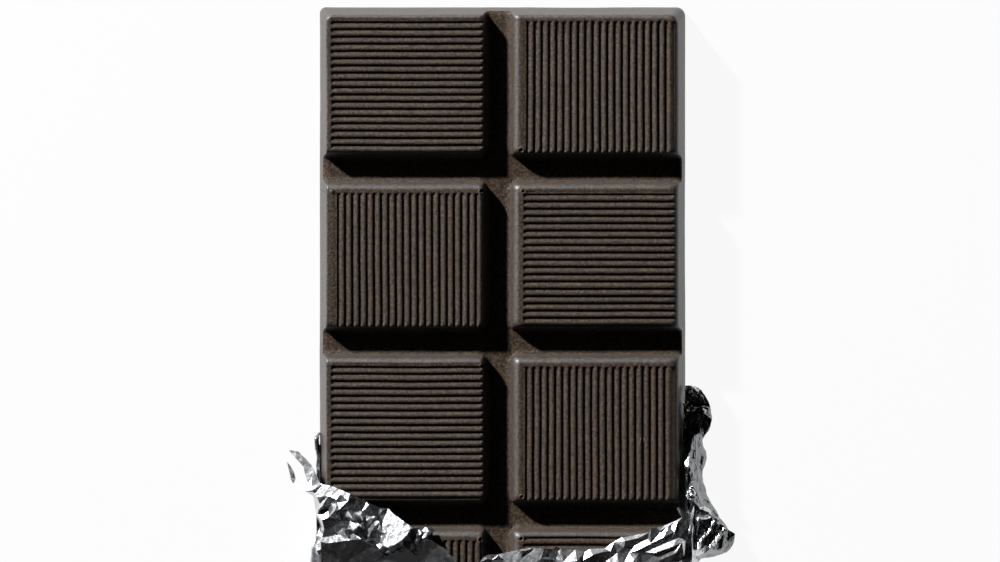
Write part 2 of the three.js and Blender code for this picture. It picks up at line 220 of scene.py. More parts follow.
FLANK = [[flank_section(roll) for roll in rolls] for rolls in FLANK_ROLL]
EDGE_RUN = EDGE_ROUND * math.sin(EDGE_TURN)
OUTLINE_HALF = FOOT_HALF - DRAFT  # where the wall meets the top edge


def groove_drop(place):
    x, y = place
    nearest = np.abs(y[:, None] - CROSS_GROOVES).argmin(axis=1)
    drop = np.zeros(len(x))
    for axis, off in enumerate((x - LONG_GROOVE, y - CROSS_GROOVES[nearest])):
        sides = [np.interp(GROOVE_HALF[axis] - np.abs(off), *section) for section in FLANK[axis]]
        drop += np.where(off > 0, sides[1], sides[0])
    return GROOVE_DEPTH - rounded_max(GROOVE_DEPTH - drop, 0 * drop)


def rounded_max(first, second):
    """The greater of two depths, with the crease between them filled a little."""
    return (first + second + np.hypot(first - second, CREASE_BLEND) - CREASE_BLEND) / 2


def corner_radii(place):
    return np.array([CORNER_RADIUS[key] for key in zip(*np.where(place < 0, -1, 1))])


def round_corners(place):
    """Moves the points of a square-cornered grid so that its corners become round."""
    radius = corner_radii(place)
    past = np.clip((np.abs(place) - OUTLINE_HALF[:, None] + radius) / radius, 0, 1)
    back = past * (1 - np.sqrt(1 - past[::-1] ** 2 / 2)) * radius
    return place - np.sign(place) * back


def edge_radius(place, drop):
    """Of the nearer sides' top edge, and smaller where a groove has dropped."""
    inset = OUTLINE_HALF[:, None] - np.abs(place)
    edge = np.take_along_axis(EDGE_ROUND, (place > 0).astype(int), axis=1)
    nearer = inset[1] / (inset[0] + inset[1] + 1e-6)
    radius = edge[0] * nearer + edge[1] * (1 - nearer)
    return radius + (NOTCH_ROUND - radius) * np.clip(drop / GROOVE_DEPTH, 0, 1)


def edge_drop(place, radius):
    """How far the rounded top edge drops, from the distance to the outline."""
    corner_radius = corner_radii(place)
    out = corner_radius - OUTLINE_HALF[:, None] + np.abs(place)
    inside = corner_radius - np.hypot(*np.maximum(out, 0)) - np.minimum(out.max(axis=0), 0)
    run = radius * math.sin(EDGE_TURN)
    past = np.clip(run - inside, 0, run)
    return radius - np.sqrt(radius**2 - past**2)


class Square:
    """One square of the bar with its half of the grooves round it: column 0 is on the left."""

    def __init__(self, column, row):
        self.column, self.row = column, row
        self.ribs = "across" if (column + row) % 2 == 0 else "along"
        self.edge_x = (column == 0, column == 1)
        self.edge_y = (row == len(CROSS_GROOVES), row == 0)
        outer_x, outer_y = (OUTLINE_HALF[:, None] - EDGE_RUN) * (-1, 1)
        half_x, half_y = GROOVE_HALF
        self.flat_x = (LONG_GROOVE + half_x, outer_x[1]) if column else (outer_x[0], LONG_GROOVE - half_x)
        low = outer_y[0] if self.edge_y[0] else CROSS_GROOVES[-row - 1] + half_y
        high = outer_y[1] if self.edge_y[1] else CROSS_GROOVES[-row] - half_y
        self.flat_y = (low, high)

    def rib_centres(self):
        """The ribs' places, from the left or the lowest one up. The one furthest to the left or the highest
        one is the rim of the flat strip beside them."""
        shift, pitch = RIB_PLACE[self.column, self.row]
        steps = np.arange(RIB_COUNT[self.ribs] + 1) * pitch
        if self.ribs == "across":
            return self.flat_y[0] + shift + steps
        return self.flat_x[1] + shift - steps[::-1]

    def strip_end(self):
        """Where the valleys begin, beside the flat strip at their left or upper ends."""
        if self.ribs == "across":
            return self.flat_x[0] + RIB_STRIP["across"]
        return self.flat_y[1] - RIB_STRIP["along"]

    def lines(self):
        """The grid's places across and along the bar."""
        centres, end = self.rib_centres(), self.strip_end()
        if self.ribs == "across":
            inner_x = filled(self.flat_x, end + VALLEY_LINES, SPACING_ALONG)
            inner_y = lines_across_ribs(self.flat_y, centres)
        else:
            inner_x = lines_across_ribs(self.flat_x, centres)
            inner_y = filled(self.flat_y, end - VALLEY_LINES[::-1], SPACING_ALONG)
        lines_x = with_sides(inner_x, self.flat_x, self.edge_x, 0)
        lines_y = with_sides(inner_y, self.flat_y, self.edge_y, 1)
        for x, y, radius, *_ in PITS + BUMPS:
            if lines_x[0] < x < lines_x[-1] and lines_y[0] < y < lines_y[-1]:
                lines_x = np.union1d(lines_x, x + radius * PIT_LINES)
                lines_y = np.union1d(lines_y, y + radius * PIT_LINES)
        return lines_x, lines_y

    def rib_drop(self, x, y):
        """How deep the valleys between the ribs are cut."""
        across, into = (y, x - self.strip_end()) if self.ribs == "across" else (x, self.strip_end() - y)
        centres = self.rib_centres()
        number = np.abs(across[:, None] - centres).argmin(axis=1)
        off = np.abs(across - centres[number])
        tall = 1 + rng.normal(0, RIB_UNEVEN, len(centres))
        drop = RIB_HEIGHT * tall[number] * (1 - np.sqrt(np.clip(1 - (off / RIB_HALF) ** 2, 0, 1)))
        strip_side = 1 if self.ribs == "across" else -1
        rim = centres[-1] if self.ribs == "across" else centres[0]
        past_rim = (across - rim) * strip_side
        width, depth = RIM_SLOPE
        fall = depth * np.clip(1 - past_rim / width, 0, 1) ** 2
        drop = np.where(past_rim > 0, fall, np.maximum(drop, depth * (past_rim > -RIB_HALF)))
        ragged = rng.normal(0, END_UNEVEN, len(centres))[number]
        start = ragged + VALLEY_POINT * np.clip(1 - (RIB_PITCH / 2 - off) / RIB_PITCH * 2, 0, 1) ** 2
        return drop * smoothstep(into, start, start + VALLEY_END)


SPACING_ALONG = 2.1  # of the grid along a rib
SPACING_BESIDE = 0.4  # of the grid beside the ribs
LEAST_GAP = 0.06  # from a rib's line to the flat top's edge
RIB_LINES = np.array([-0.485, -0.4, -0.2, 0.02, 0.24, 0.42, 0.485])  # across a rib
VALLEY_LINES = np.array([0, 0.13, 0.27, 0.42, 0.62])
PIT_LINES = np.array([-1.7, -1.3, -1, -0.6, 0, 0.6, 1, 1.3, 1.7])  # across a bubble, over its radius
# Lines over a rounded edge or a roll, as shares of its turn, and down the slope under a roll.
EDGE_LINES = np.array([0.15, 0.3, 0.45, 0.6, 0.75, 0.88, 1])
ROLL_LINES = np.array([0.12, 0.24, 0.36, 0.48, 0.6, 0.73, 0.86, 1])
SLOPE_LINES = np.array([0.33, 0.67, 1])
ZIP_GAP = 0.2  # from a groove's middle to the last line of a grid


def side_lines(is_edge, axis, side):
    """Distances out from the flat top's edge, over the bar's rounded edge or down a flank."""
    if is_edge:
        return EDGE_ROUND[axis][side] * np.sin(EDGE_TURN * EDGE_LINES)
    flank = FLANK[axis][1 - side][0]
    roll = FLANK_ROLL[axis][1 - side] * np.sin(FLANK_ANGLE * ROLL_LINES)
    slope = roll[-1] + (flank[-ARC_POINTS] - roll[-1]) * SLOPE_LINES
    fillet = np.array([flank[-(ARC_POINTS // 2)], flank[-1]])
    last = GROOVE_HALF[axis] - ZIP_GAP
    return np.concatenate([roll, slope, fillet, [(fillet[-1] + last) / 2, last]])


def with_sides(inner, flat, edges, axis):
    """Adds the lines outside the flat top."""
    low = flat[0] - side_lines(edges[0], axis, 0)[::-1]
    high = flat[1] + side_lines(edges[1], axis, 1)
    return np.concatenate([low, [flat[0]], inner, [flat[1]], high])


def spread(low, high, spacing):
    """Even places from low to high with both ends left out."""
    count = max(1, round((high - low) / spacing))
    return np.linspace(low, high, count + 1)[1:-1]


def filled(flat, inner, spacing):
    """The inner lines with evenly spaced ones on both sides, out to the flat top's edges."""
    return np.concatenate([spread(flat[0], inner[0], spacing), inner, spread(inner[-1], flat[1], spacing)])


def lines_across_ribs(flat, centres):
    inner = np.concatenate([[c - RIB_PITCH / 2, *(c + RIB_LINES)] for c in centres])
    inner = np.append(inner, centres[-1] + RIB_PITCH / 2)
    inner = inner[(inner > flat[0] + LEAST_GAP) & (inner < flat[1] - LEAST_GAP)]
    return filled(flat, inner, SPACING_BESIDE)


def bell(value, middle, width):
    return np.exp(-(((value - middle) / width) ** 2))


def distances(place, spots):
    """How far off each bubble or drip the places are, over its radius."""
    return [np.hypot(place[0] - x, place[1] - y) / radius for x, y, radius, *_ in spots]


def relief(place):
    """Burst bubbles and drips on the top."""
    height = np.zeros(place.shape[1])
    rim_height, *rim = PIT_RIM
    for off in distances(place, PITS):
        height -= PIT_DEPTH * np.clip(1 - off**2, 0, 1) - rim_height * bell(off, *rim)
    for off, (*_, rise) in zip(distances(place, BUMPS), BUMPS):
        height += rise * np.clip(1 - off**2, 0, 1) ** BUMP_POINT
    return height


def bloom(place):
    """Where fat or sugar has bloomed: a ring round each burst bubble."""
    return sum(bell(off, *BLOOM_RING) for off in distances(place, PITS))


def unevenness(points):
    """Small waves of a cast and handled surface."""
    shift = np.zeros_like(points)
    for axis in range(3):
        waves = [height * soft_noise(points, length, seed + axis) for height, length, seed in WAVES]
        shift[:, axis] = sum(waves)
    shift[:, 2] *= np.clip(points[:, 2] / FOOT_ROUND, 0, 1)
    return points + shift


def top_surface():
    """Points and triangles of the top, each square's grid of point numbers, and the points' finish, which is
    1 where there is full sheen, 0 where there is none and below that where there is bloom."""
    points, faces, grids, finish = [], [], {}, []
    count = 0
    for column, row in np.ndindex(2, len(CROSS_GROOVES) + 1):
        square = Square(column, row)
        grid = np.array(np.meshgrid(*square.lines()))
        place = grid.reshape(2, -1)
        valleys = square.rib_drop(*place)
        place = round_corners(place)
        drop = groove_drop(place)
        radius = edge_radius(place, drop)
        fall = drop + edge_drop(place, radius)
        z = HEIGHT - rounded_max(fall, valleys) + relief(place)
        sheen = smoothstep(fall, *SHEEN_DROP) * smoothstep(GROOVE_DEPTH - drop, *SHEEN_RISE)
        finish.append(sheen - bloom(place))
        reach = np.clip(1 - (OUTLINE_HALF[:, None] - np.abs(place)) / LEAN_REACH, 0, 1)
        lean = DRAFT[:, None] * drop / (HEIGHT - radius) * reach**2
        points.append(np.vstack([place + np.sign(place) * lean, z]).T)
        grids[column, row] = count + np.arange(len(z)).reshape(grid.shape[1:])
        faces.append(grid_faces(grids[column, row]))
        count += len(z)
    return np.concatenate(points), faces, grids, np.concatenate(finish)


def joined_grids(points, grids):
    """Triangles that close the gaps between neighbouring squares, along the middle of the grooves."""
    faces = []
    rows = len(CROSS_GROOVES) + 1
    for row in range(rows):
        left, right = grids[0, row][:, -1], grids[1, row][:, 0]
        faces.append(zip_faces(left, right, points[left, 1], points[right, 1]))
    for column, row in np.ndindex(2, rows - 1):
        upper, lower = grids[column, row][0], grids[column, row + 1][-1]
        faces.append(zip_faces(upper, lower, points[upper, 0], points[lower, 0]))
    for row in range(rows - 1):
        a, b = grids[0, row + 1][-1, -1], grids[1, row + 1][-1, 0]
        c, d = grids[1, row][0, 0], grids[0, row][0, -1]
        faces.append(np.array([(a, b, c), (a, c, d)]))
    return faces


def outline_sides(grids):
    """The point numbers of the four sides, corner to corner, turning left seen from above."""
    rows = range(len(CROSS_GROOVES), -1, -1)
    bottom = np.concatenate([grids[0, rows[0]][0], grids[1, rows[0]][0]])
    right = np.concatenate([grids[1, row][:, -1] for row in rows])
    top = np.concatenate([grids[0, 0][-1], grids[1, 0][-1]])[::-1]
    left = np.concatenate([grids[0, row][:, 0] for row in rows])[::-1]
    return [bottom, right, top, left]


WALL_SHARES = (0.12, 0.3, 0.5, 0.75, 1)  # of the way down the wall
FOOT_RINGS = ((0.09, 0.09), (FOOT_ROUND, 0))  # inset and height


def wall_rings(top_ring):
    """Rings of points from the top edge down the wall and round the foot."""
    scale = (FOOT_HALF / OUTLINE_HALF)[None, :]
    foot = np.column_stack([top_ring[:, :2] * scale, np.full(len(top_ring), FOOT_ROUND)])
    foot[:, :2] = np.clip(foot[:, :2], -FOOT_HALF, FOOT_HALF)
    rings = [top_ring + (foot - top_ring) * share for share in WALL_SHARES]
    for inset, z in FOOT_RINGS:
        shrunk = foot[:, :2] * (1 - inset / FOOT_HALF)
        rings.append(np.column_stack([shrunk, np.full(len(foot), z)]))
    return rings


def chocolate_mesh():
    """Points, triangles and the finish at each point."""
    points, faces, grids, finish = top_surface()
    faces += joined_grids(points, grids)
    sides = outline_sides(grids)
    ring = np.concatenate([side[:-1] for side in sides])
    rings = wall_rings(points[ring])
    count = len(points)
    points = np.concatenate([points, *rings])
    for number in range(len(rings)):
        lower = count + number * len(ring) + np.arange(len(ring))
        faces.append(ring_faces(np.stack([lower, ring])))
        ring = lower
    points, under = underside(points, ring, [len(side) - 1 for side in sides])
    finish = np.append(finish, np.ones(len(points) - len(finish)))
    return unevenness(points), np.concatenate(faces + under), finish


def underside(points, ring, side_lengths):
    """A coarse flat grid with its rim joined to the foot's ring."""
    inset, spacing = 2.5, 2.6
    half = FOOT_HALF - FOOT_ROUND - inset
    lines = [np.linspace(-h, h, round(2 * h / spacing) + 1) for h in half]
    x, y = (part.ravel() for part in np.meshgrid(*lines))
    grid = len(points) + np.arange(len(x)).reshape(len(lines[1]), len(lines[0]))
    points = np.concatenate([points, np.stack([x, y, np.zeros(len(x))], axis=1)])
    faces = [grid_faces(grid, turned=True)]
    starts = np.concatenate([[0], np.cumsum(side_lengths)])
    inner_sides = [grid[0], grid[:, -1], grid[-1, ::-1], grid[::-1, 0]]
    for number, inner in enumerate(inner_sides):
        outer = np.append(ring, ring[0])[starts[number] : starts[number + 1] + 1]
        axis, sign = (number % 2), (1 if number < 2 else -1)
        outer_at = sign * points[outer, axis] / FOOT_HALF[axis]
        inner_at = sign * points[inner, axis] / half[axis]
        faces.append(zip_faces(inner, outer, inner_at, outer_at, turned=True))
    return points, faces


# ---- The foil's form ----
FOIL_THICK = 0.05
CREASE = 3.6  # size of the foil's main creases
CREASE_KINDS = 3
FINER, WEAKER = 2.3, 0.3  # how many times finer each next kind is, and its depth over the last one's
KIND_SEEDS, AXIS_SEEDS = 5, 20  # from one kind's or axis's seed to the next one's


def facet_noise(points, size, seed=0):
    """Crumple from 0 to 1: a turned lattice's chance values, joined by flat facets."""
    x, y, z = points.T
    cosine, sine = 0.8, 0.6
    turned = np.column_stack([cosine * x + sine * y, cosine * y - sine * x, z])
    part = turned / size + (0, 0, 0.5 + seed)
    corner = np.floor(part)
    part -= corner
    order = np.argsort(-part, axis=1)
    rows = np.arange(len(points))
    height, before = np.zeros(len(points)), 1
    for step in range(4):
        after = part[rows, order[:, step]] if step < 3 else 0
        height += (before - after) * chance(*corner.T)
        if step < 3:
            corner[rows, order[:, step]] += 1
        before = after
    return height


def crumple(points, size, seed=0):
    """Creased facets about zero, with finer ones on them."""
    total = np.zeros(len(points))
    for kind in range(CREASE_KINDS):
        total += WEAKER**kind * (facet_noise(points, size / FINER**kind, seed + KIND_SEEDS * kind) - 0.5)
    return total


def crumpled_sheet(name, grid, material, amplitude, size, seed):
    """A thin sheet through a fine grid of points (rows, columns, 3), pushed out of its face by crumple."""
    along, across = (np.gradient(grid, axis=axis) for axis in (0, 1))
    normal = np.cross(across, along)
    normal /= np.linalg.norm(normal, axis=-1, keepdims=True) + 1e-9
    rough = crumple(grid.reshape(-1, 3), size, seed)
    grid = grid + normal * (amplitude * rough.reshape(grid.shape[:2]))[..., None]
    index = np.arange(grid.shape[0] * grid.shape[1]).reshape(grid.shape[:2])
    return foil_piece(name, grid.reshape(-1, 3), grid_faces(index), material)


def foil_piece(name, points, faces, material):
    piece = make_object(name, points, faces, material, smooth=False)
    thicken = piece.modifiers.new("thickness", "SOLIDIFY")
    thicken.thickness = FOIL_THICK * MM
    thicken.offset = 0
    return piece


def spline(rows, count):
    """Smooth rows between a few given ones, evenly spread."""
    rows = np.asarray(rows, float)
    at = np.linspace(0, len(rows) - 1, count)
    i = np.minimum(at.astype(int), len(rows) - 2)
    t = (at - i).reshape(-1, *[1] * (rows.ndim - 1))
    padded = np.concatenate([[2 * rows[0] - rows[1]], rows, [2 * rows[-1] - rows[-2]]])
    a, b, c, d = (padded[i + k] for k in range(4))
    smooth = b + t / 2 * (c - a + t * (2 * a - 5 * b + 4 * c - d + t * (3 * (b - c) + d - a)))
    straight = b + (c - b) * t
    return 0.5 * smooth + 0.5 * straight


# The sleeve's torn edges over and under the bar, as x and y.
UPPER_TEAR = [
    (-36.8, -29.2), (-31.8, -31.1), (-24.3, -34.6), (-18.6, -38.4), (-15.2, -40.1), (-11.9, -42),
    (-9.2, -44.9), (-7.6, -46.3), (-6, -46.4), (-3.6, -44.4), (0.9, -43), (6.2, -42), (8.7, -42.8),
    (11.2, -41.9), (21.2, -42.3), (24.9, -40.2), (32.7, -38.4), (36.5, -35.8),
]
UNDER_TEAR = [(-38, -21), (-20, -17), (5, -13.5), (24, -12), (38, -9)]
TEETH = 0.7, 0.9, 8  # depth and size of the tear's teeth, and how fast they fade away from it
SLEEVE_TOP = 9.5  # height of the foil over the ribs
SLEEVE_BASE = -0.42  # and under the bar
SLEEVE_HALF = (38.3, 38.5)  # half width at those heights
SLEEVE_ROWS = 104  # from the far end to the tear
UPPER_PART = 0.9, 1  # shares of the sleeve's height between which its top begins
# The section's corners, from the upper right one round: side, whether it is an upper one, radius, points in
# its arc and points along the side that follows.
CORNERS = [(1, 1, 1.0, 9, 200), (-1, 1, 1.0, 9, 30), (-1, 0, 0.35, 4, 60), (1, 0, 0.35, 4, 30)]
CORNER_CLEAR = 1.1  # where a side ends before the next corner, over its radius
FAR_END = -FOOT_HALF[1] - 0.35  # y of the foil over the bar's end
GROOVE_DIP = 1.4  # how far the sheet sinks into the groove under it
DIP_HALF = 3.9  # half width of that dip

# How the sleeve stands off the bar: loft and crumple, then where and how much that changes.
LOFT, SLEEVE_CRUMPLE = 0.55, 1.1
CALM = 0.9  # share of both that is lost where the sheet lies smooth
SMOOTH_X, SMOOTH_Y = (-7, -13), (-52, -47)
FOLD_X, FOLD_REACH = (7, 12), (7, 11)  # under the torn edge on the right: x, and distance from the tear
STAND_RISE, STAND_REACH = 0.7, (4, 0)  # along the tear
LOW_STAND, LOW_X = 0.7, (-9, -14)  # how much less it stands there on the left
PLEAT_X, PLEAT_Y = (36, 37.2), (-50, -46)  # on the right wall
PLEAT_PITCH, PLEAT_RISE, PLEAT_WAVE = 1.9, 0.9, (0.3, 5.0)
FLARE, FLARE_Z = 1.5, (-0.4, 1.5)  # how far the wall's foot stands out there
# On the left wall it hugs the bar near the tear and stands out further down.
LEFT_X, LEFT_HUG, LEFT_FLARE, LEFT_RISE = (36.5, 37.5), (-42, -39), (40, 43), 0.5
UNDER_PRESS, UNDER_Z = 0.1, 0.6  # how far it is pressed in under the bar, and up to how high
DROOP, DROOP_X = 0.16, 36  # towards the long edges
RIB_PRINT, PRINT_X = 0.015, (-3, -5)  # how high the ribs show through the smooth foil
LEAST_Z = 0.04  # over the floor


def outward(way):
    """Away from the bar, square to a way round the section."""
    return np.array([way[1], -way[0]])


def sleeve_section():
    """The sleeve's outline as [x, z] and its outward directions, from the upper right corner round."""
    heights = SLEEVE_BASE, SLEEVE_TOP
    places = np.array([(side * SLEEVE_HALF[1 - up], heights[up]) for side, up, *_ in CORNERS])
    points, normals = [], []
    for k, (_, _, radius, arc_points, side_points) in enumerate(CORNERS):
        here, after = places[k], places[(k + 1) % len(CORNERS)]
        after_radius = CORNERS[(k + 1) % len(CORNERS)][2]
        before, side = (way / np.linalg.norm(way) for way in (here - places[k - 1], after - here))
        out_before, out = outward(before), outward(side)
        reach = radius * math.tan(math.acos(np.clip(out_before @ out, -1, 1)) / 2)
        centre = here - before * reach - out_before * radius
        for t in np.linspace(0, 1, arc_points):
            way = out_before * (1 - t) + out * t
            way /= np.linalg.norm(way)
            points.append(centre + way * radius)
            normals.append(way)
        start, end = here + side * reach, after - side * (after_radius * CORNER_CLEAR)
        for t in np.linspace(0, 1, side_points + 2)[1:-1]:
            points.append(start + (end - start) * t)
            normals.append(out)
    return np.array(points), np.array(normals)


def sleeve_rise(points, up, from_tear, lie, on_top):
    """How far the sleeve stands off its section: up is the share of its height, from_tear the distance."""
    x, y, z = points.T
    rise = (LOFT + SLEEVE_CRUMPLE * crumple(points, CREASE)) * (1 - CALM * lie)
    folded = smoothstep(x, *FOLD_X) * (1 - smoothstep(from_tear, *FOLD_REACH)) * on_top
    rise *= 1 - CALM * folded
    stand = smoothstep(from_tear, *STAND_REACH) * on_top * (1 - LOW_STAND * smoothstep(x, *LOW_X))
    rise += STAND_RISE * stand * (1 - folded)
    wave, length = PLEAT_WAVE
    pleats = np.abs((z / PLEAT_PITCH + wave * soft_noise(points, length, 2)) % 1 - 0.5)
    flare = FLARE * (1 - up) * smoothstep(z, *FLARE_Z)
    rise += smoothstep(x, *PLEAT_X) * smoothstep(y, *PLEAT_Y) * (PLEAT_RISE * pleats + flare)
    on_left = smoothstep(-x, *LEFT_X)
    rise *= 1 - CALM * on_left * smoothstep(y, *LEFT_HUG)
    rise += LEFT_RISE * on_left * smoothstep(-y, *LEFT_FLARE)
    under = 1 - smoothstep(z, SLEEVE_BASE, SLEEVE_BASE + UNDER_Z)
    return rise * (1 - under) - UNDER_PRESS * under


def sleeve_mesh():
    section, outs = sleeve_section()
    up = np.clip((section[:, 1] - SLEEVE_BASE) / (SLEEVE_TOP - SLEEVE_BASE), 0, 1)
    upper, under = (np.interp(section[:, 0], *np.transpose(tear)) for tear in (UPPER_TEAR, UNDER_TEAR))
    tear = under + (upper - under) * np.sqrt(up)
    share = np.linspace(0, 1, SLEEVE_ROWS)[:, None]
    end = FAR_END + DRAFT[1] * up
    y = end + (tear - end) * share
    parts = [np.broadcast_to(part, y.shape).ravel() for part in (*section.T, up, tear, end, share)]
    x, z, up, tear, end, share = parts
    depth, size, fading = TEETH
    teeth = facet_noise(np.stack([x, z, z * 0], axis=1), size, 3) - 0.5
    index = np.arange(y.size).reshape(y.shape)
    y = y.ravel() + depth * teeth * share**fading
    on_top = smoothstep(up, *UPPER_PART)
    lie = smoothstep(x, *SMOOTH_X) * smoothstep(y, *SMOOTH_Y) * on_top
    points = np.stack([x, y, z], axis=1)
    rise = sleeve_rise(points, up, tear - y, lie, on_top)
    droop = DROOP * np.maximum(np.abs(x) - DROOP_X, 0) ** 2 * on_top
    in_grooves = np.maximum(1 - (x / DIP_HALF) ** 2, 1 - ((y - CROSS_GROOVES[0]) / DIP_HALF) ** 2)
    sag = on_top * GROOVE_DIP * np.maximum(in_grooves, 0)
    print_of_ribs = RIB_PRINT * np.cos(2 * math.pi * x / RIB_PITCH) * smoothstep(x, *PRINT_X) * lie
    off_end = smoothstep(y, end, end + CREASE)
    out = np.tile(outs, (SLEEVE_ROWS, 1))
    points[:, 0] += off_end * rise * out[:, 0]
    points[:, 2] += off_end * (rise * out[:, 1] - sag - droop + print_of_ribs)
    points[:, 2] = np.maximum(points[:, 2], -BAR_ORIGIN[2] + LEAST_Z)
    return folded_end(points, [ring_faces(index)], index[0])


SEAM_HALF, SEAM_HEIGHT = 35.5, 4.4  # half length of the far end's seam, and its height
SEAM_STEPS = 16
SEAM_SHARE = 0.94  # how much of the way to the seam's middle line the flaps go
FLAP_OUT, FLAP_BULGE = 0.1, 0.6
FLAP_CRUMPLE, FLAP_CREASE = 0.9, 2.8


def folded_end(points, faces, ring):
    """Closes the far end with two flaps that meet in a low seam."""
    count = len(ring)
    rim = points[ring]
    seam_x = np.clip(rim[:, 0], -SEAM_HALF, SEAM_HALF)
    seam = np.column_stack([seam_x, np.full(count, FAR_END), np.full(count, SEAM_HEIGHT)])
    lines = [ring]
    for step in range(1, SEAM_STEPS + 1):
        share = SEAM_SHARE * step / SEAM_STEPS
        line = rim + (seam - rim) * share
        bulge = 0.5 * math.sin(math.pi * share) + 0.5 * share
        rough = FLAP_CRUMPLE * crumple(line * (1, 0, 1), FLAP_CREASE, 2) * min(1, step / 3)
        out = (FAR_END - FLAP_OUT - rim[:, 1]) * min(1, 3 * share)
        line[:, 1] = rim[:, 1] + out - bulge * FLAP_BULGE - rough
        lines.append(len(points) + np.arange(count))
        points = np.concatenate([points, line])
    faces.append(ring_faces(np.array(lines)[::-1]))
    last = lines[-1]
    right, left = np.argmax(points[last, 0]), np.argmin(points[last, 0])
    upper = last[(right + np.arange((left - right) % count + 1)) % count]
    lower = last[(right - np.arange((right - left) % count + 1)) % count]
    faces.append(zip_faces(upper, lower, -points[upper, 0], -points[lower, 0]))
    return points, np.concatenate(faces)


# Crumpled pieces as points where their creases meet: each is its place in the camera's picture, in pixels,
# and its height over the bar's underside. An outline comes in turning order. First the torn band, then the
# left ear, the right strip and the torn edge on the right.
BAND_OUTLINE = [
    (303, 487, 8.7), (313, 482.8, 9), (322, 484, 9.6), (332, 486, 10.2), (341, 490, 10.9), (350, 494, 11.6),
    (356, 496.5, 10.3), (367, 502, 10.3), (380, 508, 10.3), (388, 508.5, 10.2), (394, 514.5, 10.85),
    (401, 519.3, 11.5), (408, 524.5, 12.1), (413, 528.5, 12.5), (417, 527.5, 10.6), (424, 525.8, 10.4),
    (430, 526.3, 10.3), (434.5, 530, 10), (433, 534.5, 10), (428, 539, 10), (430, 543, 9.9),
    (428, 545.5, 9.9), (416, 547, 9.9), (419, 553, 9.7), (416, 556, 9.7), (408, 549, 9.8), (404, 552, 9.8),
    (396, 551.5, 9.8), (391, 555, 9.9), (376, 560, 9.8), (345, 562, 9.8), (322, 562, 9.6),
    (313.5, 555, 8.4), (315.5, 545, 8.4), (320.5, 534, 8.6), (319.5, 526, 8.6), (317, 518, 8.4),
    (315.6, 509, 8.4), (314.6, 501, 8.4), (313, 496, 8.6), (305, 491, 8.6),
]
BAND_FOLDS = [
    (308, 487.5, 9.1), (316, 487, 9.4), (313, 492, 9.5), (317, 496.5, 10), (322.3, 489.5, 9.9),
    (331, 491.5, 10.4), (328, 496, 10.5), (336, 499.5, 11.1), (334.5, 489.5, 10.5), (341, 494.5, 11.1),
    (348, 501, 11.8), (352, 498, 11.6), (337.5, 503, 10.6), (331, 503, 10.5), (320, 504, 10.1),
    (327, 508, 9.8), (318, 510, 10.7), (322, 506.5, 11), (334.5, 511.5, 12), (339, 509.5, 11.5),
    (317.5, 514, 9.2), (322, 520, 10.5), (329, 517, 10.9), (324, 529, 10), (333.5, 527, 9.9),
    (341, 520, 10.6), (338, 533, 10.1), (343, 531, 11.2), (342.5, 528.5, 10.5), (348, 529, 10.4),
    (322, 537.5, 9.8), (338, 535, 9.7), (351, 532.5, 9.7), (360, 530.5, 9.9), (321, 541.5, 10.4),
    (326, 543.2, 10.7), (338, 541.8, 10.8), (350, 540, 10.8), (361, 539.4, 10.8), (368, 541, 10.3),
    (373, 546, 10.2), (378, 550.5, 10.1), (385, 553, 10.2), (398, 548, 10.2), (404, 547.5, 10.8),
    (401, 550, 10.8), (412, 549.5, 10.6), (416, 553.5, 10.5), (317, 551, 9.6), (321, 549, 10.1),
    (348, 510, 10.8), (345.5, 516, 10.9), (352, 517.5, 12.3), (344, 521, 10.7), (350, 521.5, 10.6),
    (349, 525.5, 10.6), (354, 513, 10.8), (356.5, 521, 11.2), (360.5, 516.5, 11.9), (359.5, 525, 12.2),
    (353, 530, 12), (351, 526.5, 10.9), (357, 499, 11), (369, 505, 11), (382, 510.5, 11),
    (376, 516.5, 10.9), (362, 511, 10.8), (366, 516, 10.7), (354, 505, 11.1), (363, 522, 10.7),
    (368, 520, 11), (365, 531, 10.1), (365.5, 537, 10.1), (369, 526, 10.1), (374, 520.5, 10.3),
    (379, 515.5, 10.5), (368.8, 537, 11.3), (371.5, 531, 11.4), (375.5, 525.5, 11.3), (379.5, 521.5, 10.8),
    (377, 529.5, 10.9), (380.5, 536, 10.4), (380, 543, 10.5), (374, 541, 10.7), (376.5, 545, 10.5),
    (379.5, 548.5, 11.4), (387, 513, 10.4), (383, 520.5, 10.6), (399.5, 523.8, 11.65), (382, 532.2, 11.2),
    (388, 533, 11.5), (400, 532, 12.1), (410, 529, 12.5), (407, 535, 12.65), (402, 540, 12.65),
    (395, 544.5, 12.5), (388, 547.5, 12.3), (383, 545.5, 11.9), (405, 541, 10.4), (386, 549, 10.6),
    (389, 551.5, 11.3), (410, 536, 10.4), (413.5, 532, 10.7), (416.5, 536.5, 11.4), (417, 541, 11.6),
    (412, 541, 10.8), (419, 537, 10.6), (418.5, 529.5, 10.6), (421.5, 533, 11.2), (423, 530.5, 10.6),
    (422.5, 534.5, 10.6), (426, 537, 11.3), (421, 538, 10.8), (425.5, 527.8, 10.5), (428, 531, 11.1),
    (429.3, 529, 10.6), (432, 532.5, 11.1), (424, 540, 11), (420, 543.5, 10.4),
]
